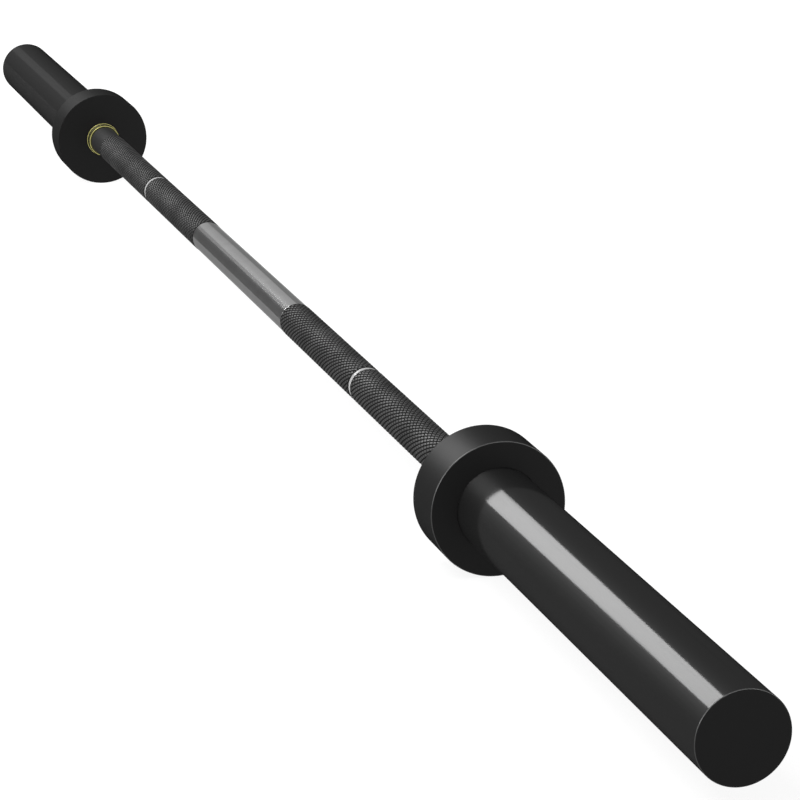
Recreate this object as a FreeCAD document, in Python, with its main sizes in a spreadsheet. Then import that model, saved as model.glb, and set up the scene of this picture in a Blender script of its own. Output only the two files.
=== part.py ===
import FreeCAD, Part
import os
import Sketcher

# Olympic barbell of the six foot pattern: a turned steel shaft that carries a free turning
# sleeve at each end. The bar lies along X with its origin at mid length on the bar's axis.
# Every piece is drawn on the right, at positive X. The left hand copies are turned half way
# round Z. Lengths are in millimetres.

SIZES = {
    # Shaft
    "collar_gap": 1067.0,  # between the inner faces of the two collars
    "grip_diameter": 25.0,  # over the crests of the knurl
    "plain_diameter": 24.4,  # smooth centre, and the stretch beside each collar
    "centre_length": 264.0,  # smooth centre, end to end
    "ring_spacing": 609.6,  # hand spacing marks, middle to middle
    "ring_width": 4.0,
    "ring_diameter": 24.0,
    "plain_end_length": 46.0,  # from the collar's inner face to the start of the knurl
    "journal_diameter": 22.0,  # where the bushes run
    "journal_chamfer": 1.0,
    "drill_diameter": 6.0,  # lathe centre in each end
    "drill_depth": 4.0,
    # Sleeve
    "sleeve_diameter": 50.0,
    "sleeve_length": 347.5,  # from the collar's outer face to the end of the bar
    "undercut_width": 1.5,  # relief beside the collar, so that plates seat flat
    "undercut_depth": 0.5,
    "spigot_diameter": 44.0,  # turned end that the collar is shrunk onto
    "relief_diameter": 28.0,  # bore between the two bushes
    # Collar
    "collar_diameter": 82.0,
    "collar_thickness": 34.0,
    "collar_chamfer": 0.6,
    "web_thickness": 6.0,  # wall between the spigot and the collar's inner face
    "mouth_depth": 3.0,  # counterbore that the sleeve's undercut runs into
    "mouth_clearance": 0.3,  # on the radius, between the mouth and the sleeve
    # Bushes
    "flange_diameter": 28.7,
    "flange_thickness": 6.0,
    "inner_bush_diameter": 26.0,
    "inner_bush_length": 56.0,  # behind the flange
    "outer_bush_diameter": 30.0,
    "outer_bush_length": 50.0,
    "bush_chamfer": 0.5,
    # Thrust washers and the ring that holds the sleeve on
    "shoulder_washer_diameter": 27.6,
    "shoulder_washer_thickness": 1.5,
    "thrust_washer_diameter": 29.0,
    "thrust_washer_thickness": 2.5,
    "support_ring_diameter": 28.0,
    "support_ring_thickness": 2.0,
    "clip_thickness": 1.2,
    "clip_groove_diameter": 21.0,
    "clip_back_width": 3.0,  # radial width opposite the gap
    "clip_gap": 3.0,
    "clip_offset": 0.7,  # the outer edge is struck from a centre this far from the bar's axis
    "clip_ear_diameter": 4.2,
    "clip_hole_diameter": 2.0,
    "clip_setback": 4.0,  # from the ring to the end of the shaft
    # End cap
    "cap_thickness": 4.0,
    "cap_chamfer": 0.6,
    "plug_length": 14.0,
    "plug_wall": 4.0,
    "seal_section": 2.6,  # side of the square section of the sealing ring
    "seal_setback": 4.0,  # from the cap's flange to the ring's groove
    "shaft_end_gap": 4.0,  # from the end of the shaft to the plug
    # Clearances
    "running_clearance": 0.05,  # on the radius, between journal and bush
    "seat_clearance": 0.02,  # on the radius, in a seat that is pressed or bonded
    "end_float": 0.25,  # along the bar, at each thrust face
    "groove_play": 0.1,  # beside a ring in its groove
}

LEFT_TURN = FreeCAD.Placement(FreeCAD.Vector(), FreeCAD.Rotation(FreeCAD.Vector(0, 0, 1), 180))
SIDES = {"right": FreeCAD.Placement(), "left": LEFT_TURN}
FULL_TURN = 360

# Places along the bar, from mid length outwards, as expressions in the sizes
COLLAR_INNER = "Sizes.collar_gap / 2"
COLLAR_OUTER = f"{COLLAR_INNER} + Sizes.collar_thickness"
SLEEVE_END = f"{COLLAR_OUTER} + Sizes.sleeve_length"
TUBE_START = f"{COLLAR_INNER} + Sizes.web_thickness"
SPIGOT_END = f"{COLLAR_OUTER} - Sizes.mouth_depth"
TUBE_END = f"{SLEEVE_END} - Sizes.cap_thickness"
PLUG_END = f"{TUBE_END} - Sizes.plug_length"
SHAFT_END = f"{PLUG_END} - Sizes.shaft_end_gap"
CLIP_OUTER = f"{SHAFT_END} - Sizes.clip_setback"
CLIP_INNER = f"{CLIP_OUTER} - Sizes.clip_thickness"
SUPPORT_INNER = f"{CLIP_INNER} - Sizes.support_ring_thickness"
THRUST_INNER = f"{SUPPORT_INNER} - Sizes.thrust_washer_thickness"
OUTER_BUSH_END = f"{THRUST_INNER} - Sizes.end_float"
OUTER_BUSH_START = f"{OUTER_BUSH_END} - Sizes.outer_bush_length"
FLANGE_FACE = f"{COLLAR_INNER} - Sizes.flange_thickness"
INNER_BUSH_END = f"{COLLAR_INNER} + Sizes.inner_bush_length"
SHOULDER_WASHER_OUTER = f"{FLANGE_FACE} - Sizes.end_float"
SHOULDER = f"{SHOULDER_WASHER_OUTER} - Sizes.shoulder_washer_thickness"
KNURL_END = f"{COLLAR_INNER} - Sizes.plain_end_length"
SEAL_OUTER = f"{TUBE_END} - Sizes.seal_setback"
SEAL_INNER = f"{SEAL_OUTER} - Sizes.seal_section"
SEAL_GROOVE_INNER = f"{SEAL_INNER} - Sizes.groove_play"

# Radii that two pieces share
GRIP_RADIUS = "Sizes.grip_diameter / 2"
PLAIN_RADIUS = "Sizes.plain_diameter / 2"
JOURNAL_RADIUS = "Sizes.journal_diameter / 2"
RUNNING_RADIUS = f"{JOURNAL_RADIUS} + Sizes.running_clearance"
WASHER_BORE = f"{JOURNAL_RADIUS} + Sizes.seat_clearance"
CLIP_GROOVE_RADIUS = "Sizes.clip_groove_diameter / 2"
CLIP_BORE = f"{CLIP_GROOVE_RADIUS} + Sizes.seat_clearance"
SLEEVE_RADIUS = "Sizes.sleeve_diameter / 2"
SPIGOT_RADIUS = "Sizes.spigot_diameter / 2"
INNER_BUSH_RADIUS = "Sizes.inner_bush_diameter / 2"
INNER_SEAT_RADIUS = f"{INNER_BUSH_RADIUS} + Sizes.seat_clearance"
OUTER_BUSH_RADIUS = "Sizes.outer_bush_diameter / 2"
OUTER_SEAT_RADIUS = f"{OUTER_BUSH_RADIUS} + Sizes.seat_clearance"
SEAL_BORE = f"{OUTER_BUSH_RADIUS} - Sizes.seal_section"
SEAL_GROOVE_RADIUS = f"{SEAL_BORE} - Sizes.seat_clearance"
CLIP_EAR_RADIUS = "Sizes.clip_ear_diameter / 2"
CLIP_OUTER_RADIUS = f"{CLIP_BORE} + Sizes.clip_back_width - Sizes.clip_offset"
EAR_SIDE = f"Sizes.clip_gap / 2 + {CLIP_EAR_RADIUS}"
EAR_REACH = f"{CLIP_BORE} + {CLIP_EAR_RADIUS}"
EAR_HEIGHT = f"sqrt(({EAR_REACH}) ^ 2 - ({EAR_SIDE}) ^ 2)"


def make_sheet(doc):
    """Write every driving size into a spreadsheet, one alias a row."""
    sheet = doc.addObject("Spreadsheet::Sheet", "Sizes")
    for row, (alias, number) in enumerate(SIZES.items(), start=1):
        sheet.set(f"A{row}", alias)
        sheet.set(f"B{row}", str(number))
        sheet.setAlias(f"B{row}", alias)
    doc.recompute()


def origin_plane(body, role):
    """Return the origin plane of a body that has the given role."""
    return next(plane for plane in body.Origin.OriginFeatures if plane.Role == role)


def make_body(doc, label, place):
    """Start a sub-part that stands at the given placement."""
    body = doc.addObject("PartDesign::Body", label)
    body.Label = label
    body.Placement = place
    return body


def make_sketch(body, name, role):
    """Start a sketch on one of the body's origin planes."""
    sketch = body.newObject("Sketcher::SketchObject", name)
    sketch.AttachmentSupport = [(origin_plane(body, role), "")]
    sketch.MapMode = "FlatFace"
    return sketch


def bind(sketch, kind, geometry, expression):
    """Add a dimension to a sketch and tie it to an expression in the sizes."""
    number = float(sketch.evalExpression(expression))
    index = sketch.addConstraint(Sketcher.Constraint(kind, *geometry, number))
    sketch.setExpression(f"Constraints[{index}]", expression)


def locate(sketch, point, across, up):
    """Tie a sketch point to two distances from the origin. None keeps it on that axis."""
    if across is None:
        sketch.addConstraint(Sketcher.Constraint("PointOnObject", *point, -2))
    else:
        bind(sketch, "DistanceX", (-1, 1, *point), across)
    if up is None:
        sketch.addConstraint(Sketcher.Constraint("PointOnObject", *point, -1))
    else:
        bind(sketch, "DistanceY", (-1, 1, *point), up)


def corner_value(sketch, expression):
    """Return a corner's coordinate as a number, with None for zero."""
    if expression is None:
        return 0.0
    return float(sketch.evalExpression(expression))


def half_outline(body, name, corners):
    """Sketch a closed half section through corners given as (along the bar, radius)."""
    sketch = make_sketch(body, name, "XY_Plane")
    points = [
        FreeCAD.Vector(corner_value(sketch, along), corner_value(sketch, radius), 0)
        for along, radius in corners
    ]
    count = len(points)
    for index, start in enumerate(points):
        sketch.addGeometry(Part.LineSegment(start, points[(index + 1) % count]))
    for index in range(count):
        sketch.addConstraint(Sketcher.Constraint("Coincident", index, 2, (index + 1) % count, 1))
    for index, (along, radius) in enumerate(corners):
        locate(sketch, (index, 1), along, radius)
    return sketch


def revolve(body, kind, name, sketch):
    """Turn a half section about the bar's axis, as a solid or as a cut."""
    feature = body.newObject(kind, name)
    feature.Profile = (sketch, [""])
    feature.ReferenceAxis = (sketch, ["H_Axis"])
    feature.Angle = FULL_TURN
    return feature


def turn(body, name, corners):
    """Make a turned solid from the corners of its half section."""
    sketch = half_outline(body, f"{name}_section", corners)
    return revolve(body, "PartDesign::Revolution", name, sketch)


def cut_groove(body, name, corners):
    """Turn away the material inside the corners of a half section."""
    sketch = half_outline(body, f"{name}_section", corners)
    return revolve(body, "PartDesign::Groove", name, sketch)


def band(start, end, inner, outer):
    """Return the corners of a plain ring section."""
    return [(start, inner), (end, inner), (end, outer), (start, outer)]


def add_circle(sketch, across, up, radius):
    """Draw a circle whose centre and radius are tied to the sizes."""
    centre = FreeCAD.Vector(corner_value(sketch, across), corner_value(sketch, up), 0)
    circle = Part.Circle(centre, FreeCAD.Vector(0, 0, 1), corner_value(sketch, radius))
    index = sketch.addGeometry(circle)
    locate(sketch, (index, 3), across, up)
    bind(sketch, "Radius", (index,), radius)


def mirror_halves(body, name, features):
    """Repeat right hand features on the left half of the same piece."""
    mirrored = body.newObject("PartDesign::Mirrored", name)
    mirrored.Originals = features
    mirrored.MirrorPlane = (origin_plane(body, "YZ_Plane"), [""])
    body.Tip = mirrored


def make_shaft(doc):
    """Turn the shaft: knurled grips, smooth centre, hand marks, shoulders and journals."""
    body = make_body(doc, "shaft", FreeCAD.Placement())
    stock_sketch = make_sketch(body, "stock_section", "YZ_Plane")
    add_circle(stock_sketch, None, None, GRIP_RADIUS)
    stock = body.newObject("PartDesign::Pad", "stock")
    stock.Profile = (stock_sketch, [""])
    stock.SideType = "Symmetric"
    stock.setExpression("Length", f"2 * ({SHAFT_END})")

    ring_start = "Sizes.ring_spacing / 2 - Sizes.ring_width / 2"
    ring_end = "Sizes.ring_spacing / 2 + Sizes.ring_width / 2"
    ring_radius = "Sizes.ring_diameter / 2"
    groove_start = f"{CLIP_INNER} - Sizes.groove_play"
    chamfer_start = f"{SHAFT_END} - Sizes.journal_chamfer"
    chamfer_radius = f"{JOURNAL_RADIUS} - Sizes.journal_chamfer"
    journal = [
        (SHOULDER, GRIP_RADIUS),
        (SHOULDER, JOURNAL_RADIUS),
        (chamfer_start, JOURNAL_RADIUS),
        (SHAFT_END, chamfer_radius),
        (SHAFT_END, GRIP_RADIUS),
    ]
    lathe_centre = [
        (SHAFT_END, None),
        (SHAFT_END, "Sizes.drill_diameter / 2"),
        (f"{SHAFT_END} - Sizes.drill_depth", None),
    ]
    cuts = [
        cut_groove(body, "centre", band(None, "Sizes.centre_length / 2", PLAIN_RADIUS, GRIP_RADIUS)),
        cut_groove(body, "hand_mark", band(ring_start, ring_end, ring_radius, GRIP_RADIUS)),
        cut_groove(body, "plain_end", band(KNURL_END, SHOULDER, PLAIN_RADIUS, GRIP_RADIUS)),
        cut_groove(body, "journal", journal),
        cut_groove(body, "clip_groove", band(groove_start, CLIP_OUTER, CLIP_GROOVE_RADIUS, JOURNAL_RADIUS)),
        cut_groove(body, "lathe_centre", lathe_centre),
    ]
    mirror_halves(body, "both_ends", cuts)
    return body


def make_sleeve_tube(doc, side, place):
    """Turn the sleeve that carries the plates, with its stepped bore and collar spigot."""
    body = make_body(doc, f"{side}_sleeve_tube", place)
    undercut_end = f"{COLLAR_OUTER} + Sizes.undercut_width"
    undercut_radius = f"{SLEEVE_RADIUS} - Sizes.undercut_depth"
    relief_radius = "Sizes.relief_diameter / 2"
    turn(body, f"{side}_tube", [
        (TUBE_START, INNER_SEAT_RADIUS),
        (INNER_BUSH_END, INNER_SEAT_RADIUS),
        (INNER_BUSH_END, relief_radius),
        (OUTER_BUSH_START, relief_radius),
        (OUTER_BUSH_START, OUTER_SEAT_RADIUS),
        (TUBE_END, OUTER_SEAT_RADIUS),
        (TUBE_END, SLEEVE_RADIUS),
        (undercut_end, SLEEVE_RADIUS),
        (undercut_end, undercut_radius),
        (SPIGOT_END, undercut_radius),
        (SPIGOT_END, SPIGOT_RADIUS),
        (TUBE_START, SPIGOT_RADIUS),
    ])
    return body


def make_collar(doc, side, place):
    """Turn the collar: a thick ring on the sleeve's spigot, closed by a web on the inner side."""
    body = make_body(doc, f"{side}_collar", place)
    rim = "Sizes.collar_diameter / 2"
    face = f"{rim} - Sizes.collar_chamfer"
    spigot_bore = f"{SPIGOT_RADIUS} + Sizes.seat_clearance"
    mouth = f"{SLEEVE_RADIUS} + Sizes.mouth_clearance"
    turn(body, f"{side}_ring", [
        (COLLAR_INNER, INNER_SEAT_RADIUS),
        (TUBE_START, INNER_SEAT_RADIUS),
        (TUBE_START, spigot_bore),
        (SPIGOT_END, spigot_bore),
        (SPIGOT_END, mouth),
        (COLLAR_OUTER, mouth),
        (COLLAR_OUTER, face),
        (f"{COLLAR_OUTER} - Sizes.collar_chamfer", rim),
        (f"{COLLAR_INNER} + Sizes.collar_chamfer", rim),
        (COLLAR_INNER, face),
    ])
    return body


def make_inner_bush(doc, side, place):
    """Turn the flanged bush in the collar. Its flange takes the thrust and shows round the shaft."""
    body = make_body(doc, f"{side}_inner_bush", place)
    flange_radius = "Sizes.flange_diameter / 2"
    turn(body, f"{side}_flanged_bush", [
        (FLANGE_FACE, RUNNING_RADIUS),
        (INNER_BUSH_END, RUNNING_RADIUS),
        (INNER_BUSH_END, f"{INNER_BUSH_RADIUS} - Sizes.bush_chamfer"),
        (f"{INNER_BUSH_END} - Sizes.bush_chamfer", INNER_BUSH_RADIUS),
        (COLLAR_INNER, INNER_BUSH_RADIUS),
        (COLLAR_INNER, flange_radius),
        (f"{FLANGE_FACE} + Sizes.bush_chamfer", flange_radius),
        (FLANGE_FACE, f"{flange_radius} - Sizes.bush_chamfer"),
    ])
    return body


def make_outer_bush(doc, side, place):
    """Turn the plain bush that runs on the shaft's outer end."""
    body = make_body(doc, f"{side}_outer_bush", place)
    turn(body, f"{side}_plain_bush", [
        (OUTER_BUSH_START, RUNNING_RADIUS),
        (OUTER_BUSH_END, RUNNING_RADIUS),
        (OUTER_BUSH_END, OUTER_BUSH_RADIUS),
        (f"{OUTER_BUSH_START} + Sizes.bush_chamfer", OUTER_BUSH_RADIUS),
        (OUTER_BUSH_START, f"{OUTER_BUSH_RADIUS} - Sizes.bush_chamfer"),
    ])
    return body


def make_washers(doc, side, place):
    """Turn the washers on the shaft: one at the shoulder, two under the retaining ring."""
    washers = {
        "shoulder_washer": (SHOULDER, SHOULDER_WASHER_OUTER, "Sizes.shoulder_washer_diameter / 2"),
        "thrust_washer": (THRUST_INNER, SUPPORT_INNER, "Sizes.thrust_washer_diameter / 2"),
        "support_ring": (SUPPORT_INNER, CLIP_INNER, "Sizes.support_ring_diameter / 2"),
    }
    bodies = []
    for name, (start, end, radius) in washers.items():
        body = make_body(doc, f"{side}_{name}", place)
        turn(body, f"{side}_{name}_disc", band(start, end, WASHER_BORE, radius))
        bodies.append(body)
    return bodies


def clip_sketch(body, name):
    """Start a sketch square to the bar at the inner face of the retaining ring."""
    sketch = make_sketch(body, name, "YZ_Plane")
    sketch.setExpression("AttachmentOffset.Base.z", CLIP_INNER)
    return sketch


def pad_clip(body, name, sketch):
    """Raise a sketch to the thickness of the retaining ring."""
    pad = body.newObject("PartDesign::Pad", name)
    pad.Profile = (sketch, [""])
    pad.setExpression("Length", "Sizes.clip_thickness")


def pocket_clip(body, name, sketch):
    """Cut a sketch through the thickness of the retaining ring."""
    pocket = body.newObject("PartDesign::Pocket", name)
    pocket.Profile = (sketch, [""])
    pocket.Reversed = True
    pocket.setExpression("Length", "Sizes.clip_thickness")


def add_gap_outline(sketch):
    """Draw the gap between the ears as a rectangle that stands on the bar's axis."""
    half_gap = "Sizes.clip_gap / 2"
    top = f"{EAR_REACH} + Sizes.clip_ear_diameter"
    side = corner_value(sketch, half_gap)
    height = corner_value(sketch, top)
    corners = [(-side, 0), (side, 0), (side, height), (-side, height)]
    points = [FreeCAD.Vector(across, up, 0) for across, up in corners]
    for index, start in enumerate(points):
        sketch.addGeometry(Part.LineSegment(start, points[(index + 1) % 4]))
    for index in range(4):
        sketch.addConstraint(Sketcher.Constraint("Coincident", index, 2, (index + 1) % 4, 1))
    sketch.addConstraint(Sketcher.Constraint("Symmetric", 0, 1, 0, 2, -1, 1))
    sketch.addConstraint(Sketcher.Constraint("Horizontal", 0))
    sketch.addConstraint(Sketcher.Constraint("Vertical", 1))
    sketch.addConstraint(Sketcher.Constraint("Vertical", 3))
    sketch.addConstraint(Sketcher.Constraint("Horizontal", 2))
    bind(sketch, "DistanceX", (0, 1, 0, 2), "Sizes.clip_gap")
    bind(sketch, "DistanceY", (1, 1, 1, 2), top)


def add_ear_circles(sketch, radius):
    """Draw a circle at each ear of the retaining ring."""
    add_circle(sketch, EAR_SIDE, EAR_HEIGHT, radius)
    add_circle(sketch, f"-({EAR_SIDE})", EAR_HEIGHT, radius)


def make_circlip(doc, side, place):
    """Stamp the retaining ring: tapered arms from a wide back to two drilled ears."""
    body = make_body(doc, f"{side}_circlip", place)
    ring = clip_sketch(body, f"{side}_ring_outline")
    add_circle(ring, None, "-Sizes.clip_offset", CLIP_OUTER_RADIUS)
    add_circle(ring, None, None, CLIP_BORE)
    pad_clip(body, f"{side}_arms", ring)
    ears = clip_sketch(body, f"{side}_ear_outline")
    add_ear_circles(ears, CLIP_EAR_RADIUS)
    pad_clip(body, f"{side}_ears", ears)
    gap = clip_sketch(body, f"{side}_gap_outline")
    add_gap_outline(gap)
    pocket_clip(body, f"{side}_gap", gap)
    holes = clip_sketch(body, f"{side}_hole_outline")
    add_ear_circles(holes, "Sizes.clip_hole_diameter / 2")
    pocket_clip(body, f"{side}_holes", holes)
    return body


def make_end_cap(doc, side, place):
    """Turn the cap that closes the sleeve: a flush disc on a hollow plug with a seal groove."""
    body = make_body(doc, f"{side}_end_cap", place)
    hollow_radius = f"{SEAL_GROOVE_RADIUS} - Sizes.plug_wall"
    turn(body, f"{side}_cap", [
        (TUBE_END, None),
        (TUBE_END, hollow_radius),
        (PLUG_END, hollow_radius),
        (PLUG_END, f"{OUTER_BUSH_RADIUS} - Sizes.bush_chamfer"),
        (f"{PLUG_END} + Sizes.bush_chamfer", OUTER_BUSH_RADIUS),
        (SEAL_GROOVE_INNER, OUTER_BUSH_RADIUS),
        (SEAL_GROOVE_INNER, SEAL_GROOVE_RADIUS),
        (SEAL_OUTER, SEAL_GROOVE_RADIUS),
        (SEAL_OUTER, OUTER_BUSH_RADIUS),
        (TUBE_END, OUTER_BUSH_RADIUS),
        (TUBE_END, SLEEVE_RADIUS),
        (f"{SLEEVE_END} - Sizes.cap_chamfer", SLEEVE_RADIUS),
        (SLEEVE_END, f"{SLEEVE_RADIUS} - Sizes.cap_chamfer"),
        (SLEEVE_END, None),
    ])
    return body


def make_cap_seal(doc, side, place):
    """Make the square cut rubber ring that holds the cap's plug in the sleeve."""
    body = make_body(doc, f"{side}_cap_seal", place)
    turn(body, f"{side}_seal", band(SEAL_INNER, SEAL_OUTER, SEAL_BORE, OUTER_BUSH_RADIUS))
    return body


def make_side(doc, side, place):
    """Build the sleeve assembly of one end, with the washers and ring that hold it."""
    pieces = [
        make_sleeve_tube(doc, side, place),
        make_collar(doc, side, place),
        make_inner_bush(doc, side, place),
        make_outer_bush(doc, side, place),
        make_circlip(doc, side, place),
        make_end_cap(doc, side, place),
        make_cap_seal(doc, side, place),
    ]
    return pieces + make_washers(doc, side, place)


def check(doc, pieces):
    """Stop if any object failed to build or any piece is not one valid solid."""
    failed = [item.Label for item in doc.Objects if {"Invalid", "Error"} & set(item.State)]
    if failed:
        raise RuntimeError(f"failed to build: {failed}")
    for piece in pieces:
        shape = piece.Shape
        if shape.isNull() or not shape.isValid() or len(shape.Solids) != 1:
            raise RuntimeError(f"{piece.Label} is not one valid solid")


def main():
    """Build the barbell and write one file for each piece."""
    doc = FreeCAD.newDocument("barbell")
    make_sheet(doc)
    pieces = [make_shaft(doc)]
    for side, place in SIDES.items():
        pieces += make_side(doc, side, place)
    doc.recompute()
    check(doc, pieces)
    os.makedirs("parts", exist_ok=True)
    for piece in pieces:
        piece.Shape.exportStep(f"parts/{piece.Label}.step")
        print(f"{piece.Label}: {piece.Shape.Volume:.1f} cubic mm")


main()
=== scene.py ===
"""Looks of the barbell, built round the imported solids.

The bar lies along X with its middle at the origin and Z up. Lengths are metres. The right end,
at positive X, is the one nearest to the camera. Each turned piece is a half section that is
spun about X, and the grips carry real diamonds.
"""
import logging
import math
from dataclasses import dataclass, replace
from enum import Enum, IntEnum
from typing import Any, Iterable, Sequence

import bmesh
import bpy
from mathutils import Matrix, Vector


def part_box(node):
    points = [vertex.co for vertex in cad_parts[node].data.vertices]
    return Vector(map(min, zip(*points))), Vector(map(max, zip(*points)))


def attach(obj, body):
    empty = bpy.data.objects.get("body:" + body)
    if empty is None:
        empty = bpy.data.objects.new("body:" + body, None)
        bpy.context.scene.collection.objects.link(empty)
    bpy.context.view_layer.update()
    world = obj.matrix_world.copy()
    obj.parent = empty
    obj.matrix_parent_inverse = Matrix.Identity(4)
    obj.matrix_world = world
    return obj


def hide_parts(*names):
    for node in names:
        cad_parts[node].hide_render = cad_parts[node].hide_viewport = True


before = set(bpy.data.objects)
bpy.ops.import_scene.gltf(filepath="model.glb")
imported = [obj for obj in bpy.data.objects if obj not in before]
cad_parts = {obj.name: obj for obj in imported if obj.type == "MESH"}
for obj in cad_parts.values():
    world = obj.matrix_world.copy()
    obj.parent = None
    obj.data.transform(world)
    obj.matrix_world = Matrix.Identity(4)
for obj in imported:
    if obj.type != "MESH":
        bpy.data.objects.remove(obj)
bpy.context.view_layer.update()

LOG = logging.getLogger("barbell")

MM = 0.001
MERGE_DISTANCE = 0.002 * MM
MATCH_DISTANCE = 0.005 * MM
TURN_STEPS = 160
ROUNDING_STEPS = 4
DIAMOND_CORNERS = 4
SHARP_ANGLE = math.radians(24)
FACE_AREA_WEIGHT = 100
JOURNAL_RADIUS = 11 * MM  # the part of the shaft that the sleeves turn on

Colour = tuple[float, float, float]
SocketColour = tuple[float, float, float, float]
Term = Any  # a number, a colour or a signal


class Side(Enum):
    """The two ends of the bar, with the sign of X there."""

    RIGHT = 1
    LEFT = -1

    @property
    def prefix(self) -> str:
        """Return the word that starts the names of this end's pieces."""
        return self.name.lower()


class ShaftFace(IntEnum):
    """The finishes of the shaft, in the order of its material slots."""

    BRIGHT = 0
    KNURL = 1
    PLAIN = 2
    JOURNAL = 3
    MARK = 4


class CoatFace(IntEnum):
    """The finishes of a coated piece, in the order of its material slots."""

    SMOOTH = 0
    EDGE = 1
    FACE = 2


# Shader building

NOISE_MIDDLE = 0.5  # a noise swings evenly about this number
NOISE_DETAIL = 2.0  # layers of finer swells, where a finish doesn't ask for more
EVEN_BLEND = 0.5  # makes Layer Weight's Facing one minus the cosine of the viewing angle

# Sockets of a Mix node that mixes colours, by index, because other kinds of mix share their names.
MIX_FACTOR = 0
MIX_FIRST = 6
MIX_SECOND = 7
MIX_RESULT = 2


def grey(level: float) -> Colour:
    """Return a neutral colour."""
    return (level, level, level)


def opaque(colour: Colour) -> SocketColour:
    """Return a colour in the form that a socket takes."""
    return (*colour, 1.0)


def shaded(colour: Colour, share: float) -> Colour:
    """Return a colour made lighter or darker by a share of itself."""
    return tuple(channel * share for channel in colour)


BLACK = grey(0.0)
WHITE = grey(1.0)


class Signal:
    """An output socket of a shader, which takes part in sums like a number."""

    def __init__(self, bench: "NodeBench", socket: bpy.types.NodeSocket) -> None:
        """Keep the socket and the bench that adds its nodes."""
        self.bench = bench
        self.socket = socket

    def _math(self, operation: str, first: Term, second: Term) -> "Signal":
        """Add one Math node.

        Args:
            operation: name of the sum
            first: first term, a number or a signal
            second: second term, a number or a signal

        Returns:
            The result of the sum.
        """
        node = self.bench.add("ShaderNodeMath", {"operation": operation}, {0: first, 1: second})
        return self.bench.pick(node)

    def __add__(self, other: Term) -> "Signal":
        """Return self + other."""
        return self._math("ADD", self, other)

    def __radd__(self, other: Term) -> "Signal":
        """Return other + self."""
        return self._math("ADD", other, self)

    def __sub__(self, other: Term) -> "Signal":
        """Return self - other."""
        return self._math("SUBTRACT", self, other)

    def __rsub__(self, other: Term) -> "Signal":
        """Return other - self."""
        return self._math("SUBTRACT", other, self)

    def __mul__(self, other: Term) -> "Signal":
        """Return self * other."""
        return self._math("MULTIPLY", self, other)

    def __rmul__(self, other: Term) -> "Signal":
        """Return other * self."""
        return self._math("MULTIPLY", other, self)

    def __pow__(self, other: Term) -> "Signal":
        """Return self to the power of other."""
        return self._math("POWER", self, other)

    def __rpow__(self, other: Term) -> "Signal":
        """Return other to the power of self."""
        return self._math("POWER", other, self)


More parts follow.
